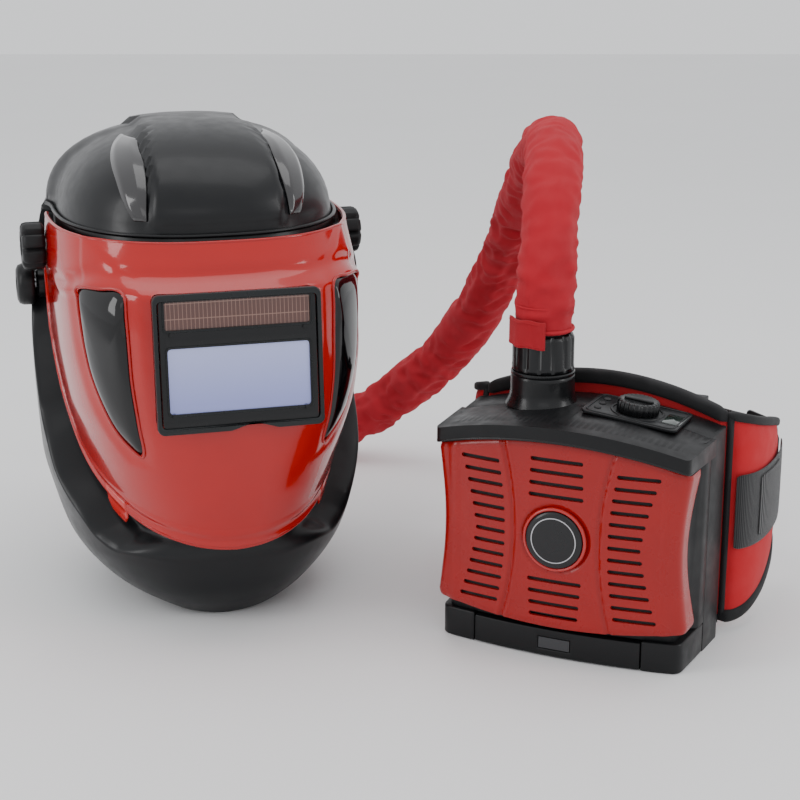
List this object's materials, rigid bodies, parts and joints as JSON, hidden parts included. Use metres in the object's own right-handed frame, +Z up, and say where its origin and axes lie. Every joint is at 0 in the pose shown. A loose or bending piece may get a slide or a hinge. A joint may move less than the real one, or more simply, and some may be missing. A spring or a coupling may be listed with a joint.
{
  "type": "powered air respirator",
  "caption": "Welding helmet with flip-up visor, joined by a fabric-covered breathing hose to a filter blower on a padded waist belt.",
  "frame": {"origin": "middle of the object's bounding box at floor level, measured without the hose and its couplings", "axes": "+Z up; -Y towards the front, where the visor and the blower's grille look; +X from the helmet towards the blower"},
  "size_m": [0.5876, 0.5217, 0.3589],
  "materials": {
    "shell_black": "gloss",
    "insert_smoke": "high gloss",
    "lens_clear": "clear",
    "seal_rubber": "matt",
    "inner_plastic": "matt",
    "black_plastic": "satin",
    "black_fabric": "woven",
    "pin_metal": "brushed",
    "visor_red": "high gloss",
    "frame_grey": "satin",
    "filter_glass": "semi mirror, lavender",
    "solar_brown": "gloss",
    "side_lens": "high gloss",
    "tab_red": "gloss",
    "strap_grey": "satin",
    "sweat_foam": "soft",
    "cover_red": "satin",
    "badge_grey": "satin",
    "mesh_steel": "mesh",
    "filter_white": "matt",
    "motor_metal": "satin",
    "fan_grey": "satin",
    "board_green": "satin",
    "display_grey": "dark, off",
    "hose_rubber": "matt",
    "cover_fabric": "woven, soft",
    "tab_fabric": "woven",
    "pad_neoprene": "padded",
    "pad_back": "padded",
    "webbing": "woven webbing"
  },
  "bodies": {
    "respirator": {"helmet_shell": "shell_black", "dome_inserts": "insert_smoke", "clear_lens": "lens_clear", "lens_seal": "seal_rubber", "air_duct": "inner_plastic", "duct_outlet": "inner_plastic", "helmet_connector": "black_plastic", "neck_seal": "black_fabric", "visor_pivot_pins": "pin_metal", "headgear_pins": "pin_metal", "rear_housing": "black_plastic", "front_housing": "black_plastic", "volute": "inner_plastic", "motor": "motor_metal", "control_board": "board_green", "control_panel": "inner_plastic", "display": "display_grey", "outlet_spigot": "black_plastic", "housing_screws": "pin_metal", "blower_cuff": "hose_rubber", "helmet_cuff": "hose_rubber", "breathing_hose": "hose_rubber", "hose_cover": "cover_fabric", "hose_tab": "tab_fabric", "back_pad": "pad_back", "side_pad_left": "pad_neoprene", "side_pad_right": "pad_neoprene", "waist_webbing": "webbing", "buckle_socket": "black_plastic"},
    "visor": {"visor_shell": "visor_red", "filter_frame": "frame_grey", "filter_cartridge": "black_plastic", "view_window": "filter_glass", "solar_strip": "solar_brown", "side_window_left": "side_lens", "side_window_right": "side_lens", "lift_tabs": "tab_red", "frame_screws": "pin_metal"},
    "visor_knob_left": {"visor_knob_left": "black_plastic"},
    "visor_knob_right": {"visor_knob_right": "black_plastic"},
    "headgear_knob_left": {"headgear_knob_left": "black_plastic"},
    "headgear_knob_right": {"headgear_knob_right": "black_plastic"},
    "headgear": {"headband": "strap_grey", "sweatband": "sweat_foam", "crown_strap": "strap_grey"},
    "nape": {"ratchet_housing": "black_plastic"},
    "ratchet": {"ratchet_knob": "black_plastic"},
    "battery": {"battery_pack": "black_plastic"},
    "latch": {"battery_latch": "inner_plastic"},
    "filter_door": {"filter_cover": "cover_red", "badge": "badge_grey", "spark_arrestor": "mesh_steel", "prefilter": "filter_white", "particle_filter": "filter_white", "filter_seal": "seal_rubber"},
    "fan_wheel": {"impeller": "fan_grey"},
    "speed_dial": {"speed_knob": "black_plastic"},
    "blower_coupling": {"blower_nut": "black_plastic"},
    "helmet_coupling": {"helmet_nut": "black_plastic"},
    "buckle": {"buckle_plug": "black_plastic"}
  },
  "joints": [
    {"name": "visor_flip", "type": "hinge", "parent": "respirator", "child": "visor", "pos_m": [-0.156, 0.022, 0.266], "axis": [-0.9613, -0.2756, 0], "range_deg": [0, 75]},
    {"name": "visor_knob_left_turn", "type": "hinge", "parent": "respirator", "child": "visor_knob_left", "pos_m": [-0.27135, -0.01108, 0.266], "axis": [-0.9613, -0.2756, 0], "range_deg": [-180, 180]},
    {"name": "visor_knob_right_turn", "type": "hinge", "parent": "respirator", "child": "visor_knob_right", "pos_m": [-0.04065, 0.05508, 0.266], "axis": [0.9613, 0.2756, 0], "range_deg": [-180, 180]},
    {"name": "headgear_knob_left_turn", "type": "hinge", "parent": "respirator", "child": "headgear_knob_left", "pos_m": [-0.28016, 0.0124, 0.232], "axis": [-0.9613, -0.2756, 0], "range_deg": [-180, 180]},
    {"name": "headgear_knob_right_turn", "type": "hinge", "parent": "respirator", "child": "headgear_knob_right", "pos_m": [-0.04562, 0.07966, 0.232], "axis": [0.9613, 0.2756, 0], "range_deg": [-180, 180]},
    {"name": "headgear_tilt", "type": "hinge", "parent": "respirator", "child": "headgear", "pos_m": [-0.16289, 0.04603, 0.232], "axis": [-0.9613, -0.2756, 0], "range_deg": [-10, 10]},
    {"name": "nape_slide", "type": "slide", "parent": "headgear", "child": "nape", "axis": [-0.2756, 0.9613, 0], "range_m": [-0.01, 0.003]},
    {"name": "ratchet_turn", "type": "hinge", "parent": "nape", "child": "ratchet", "pos_m": [-0.18136, 0.11044, 0.232], "axis": [-0.2756, 0.9613, 0], "range_deg": [-280, 80]},
    {"name": "battery_slide", "type": "slide", "parent": "respirator", "child": "battery", "axis": [-0.4226, -0.9063, 0], "range_m": [0, 0.07]},
    {"name": "latch_press", "type": "slide", "parent": "battery", "child": "latch", "axis": [0.4226, 0.9063, 0], "range_m": [0, 0.003], "stiffness_N_per_m": 400},
    {"name": "cover_slide", "type": "slide", "parent": "respirator", "child": "filter_door", "axis": [-0.4226, -0.9063, 0], "range_m": [0, 0.08]},
    {"name": "impeller_spin", "type": "hinge", "parent": "respirator", "child": "fan_wheel", "pos_m": [0.12807, -0.10481, 0.088], "axis": [0.4226, 0.9063, 0], "continuous": true},
    {"name": "speed_turn", "type": "hinge", "parent": "respirator", "child": "speed_dial", "pos_m": [0.16801, -0.12564, 0.16873], "axis": [0.0979, -0.0456, 0.9942], "range_deg": [0, 270]},
    {"name": "blower_nut_turn", "type": "hinge", "parent": "respirator", "child": "blower_coupling", "pos_m": [0.10402, -0.09249, 0.205], "axis": [0, 0, 1], "range_deg": [0, 60]},
    {"name": "helmet_nut_turn", "type": "hinge", "parent": "respirator", "child": "helmet_coupling", "pos_m": [-0.20286, 0.18541, 0.20136], "axis": [-0.1378, 0.4806, -0.866], "range_deg": [0, 60]},
    {"name": "buckle_slide", "type": "slide", "parent": "respirator", "child": "buckle", "axis": [-0.9063, 0.4226, 0], "range_m": [0, 0.028]}
  ],
  "couplings": [
    {"joint": "nape_slide", "follows": "ratchet_turn", "m_per_rad": 0.002}
  ]
}
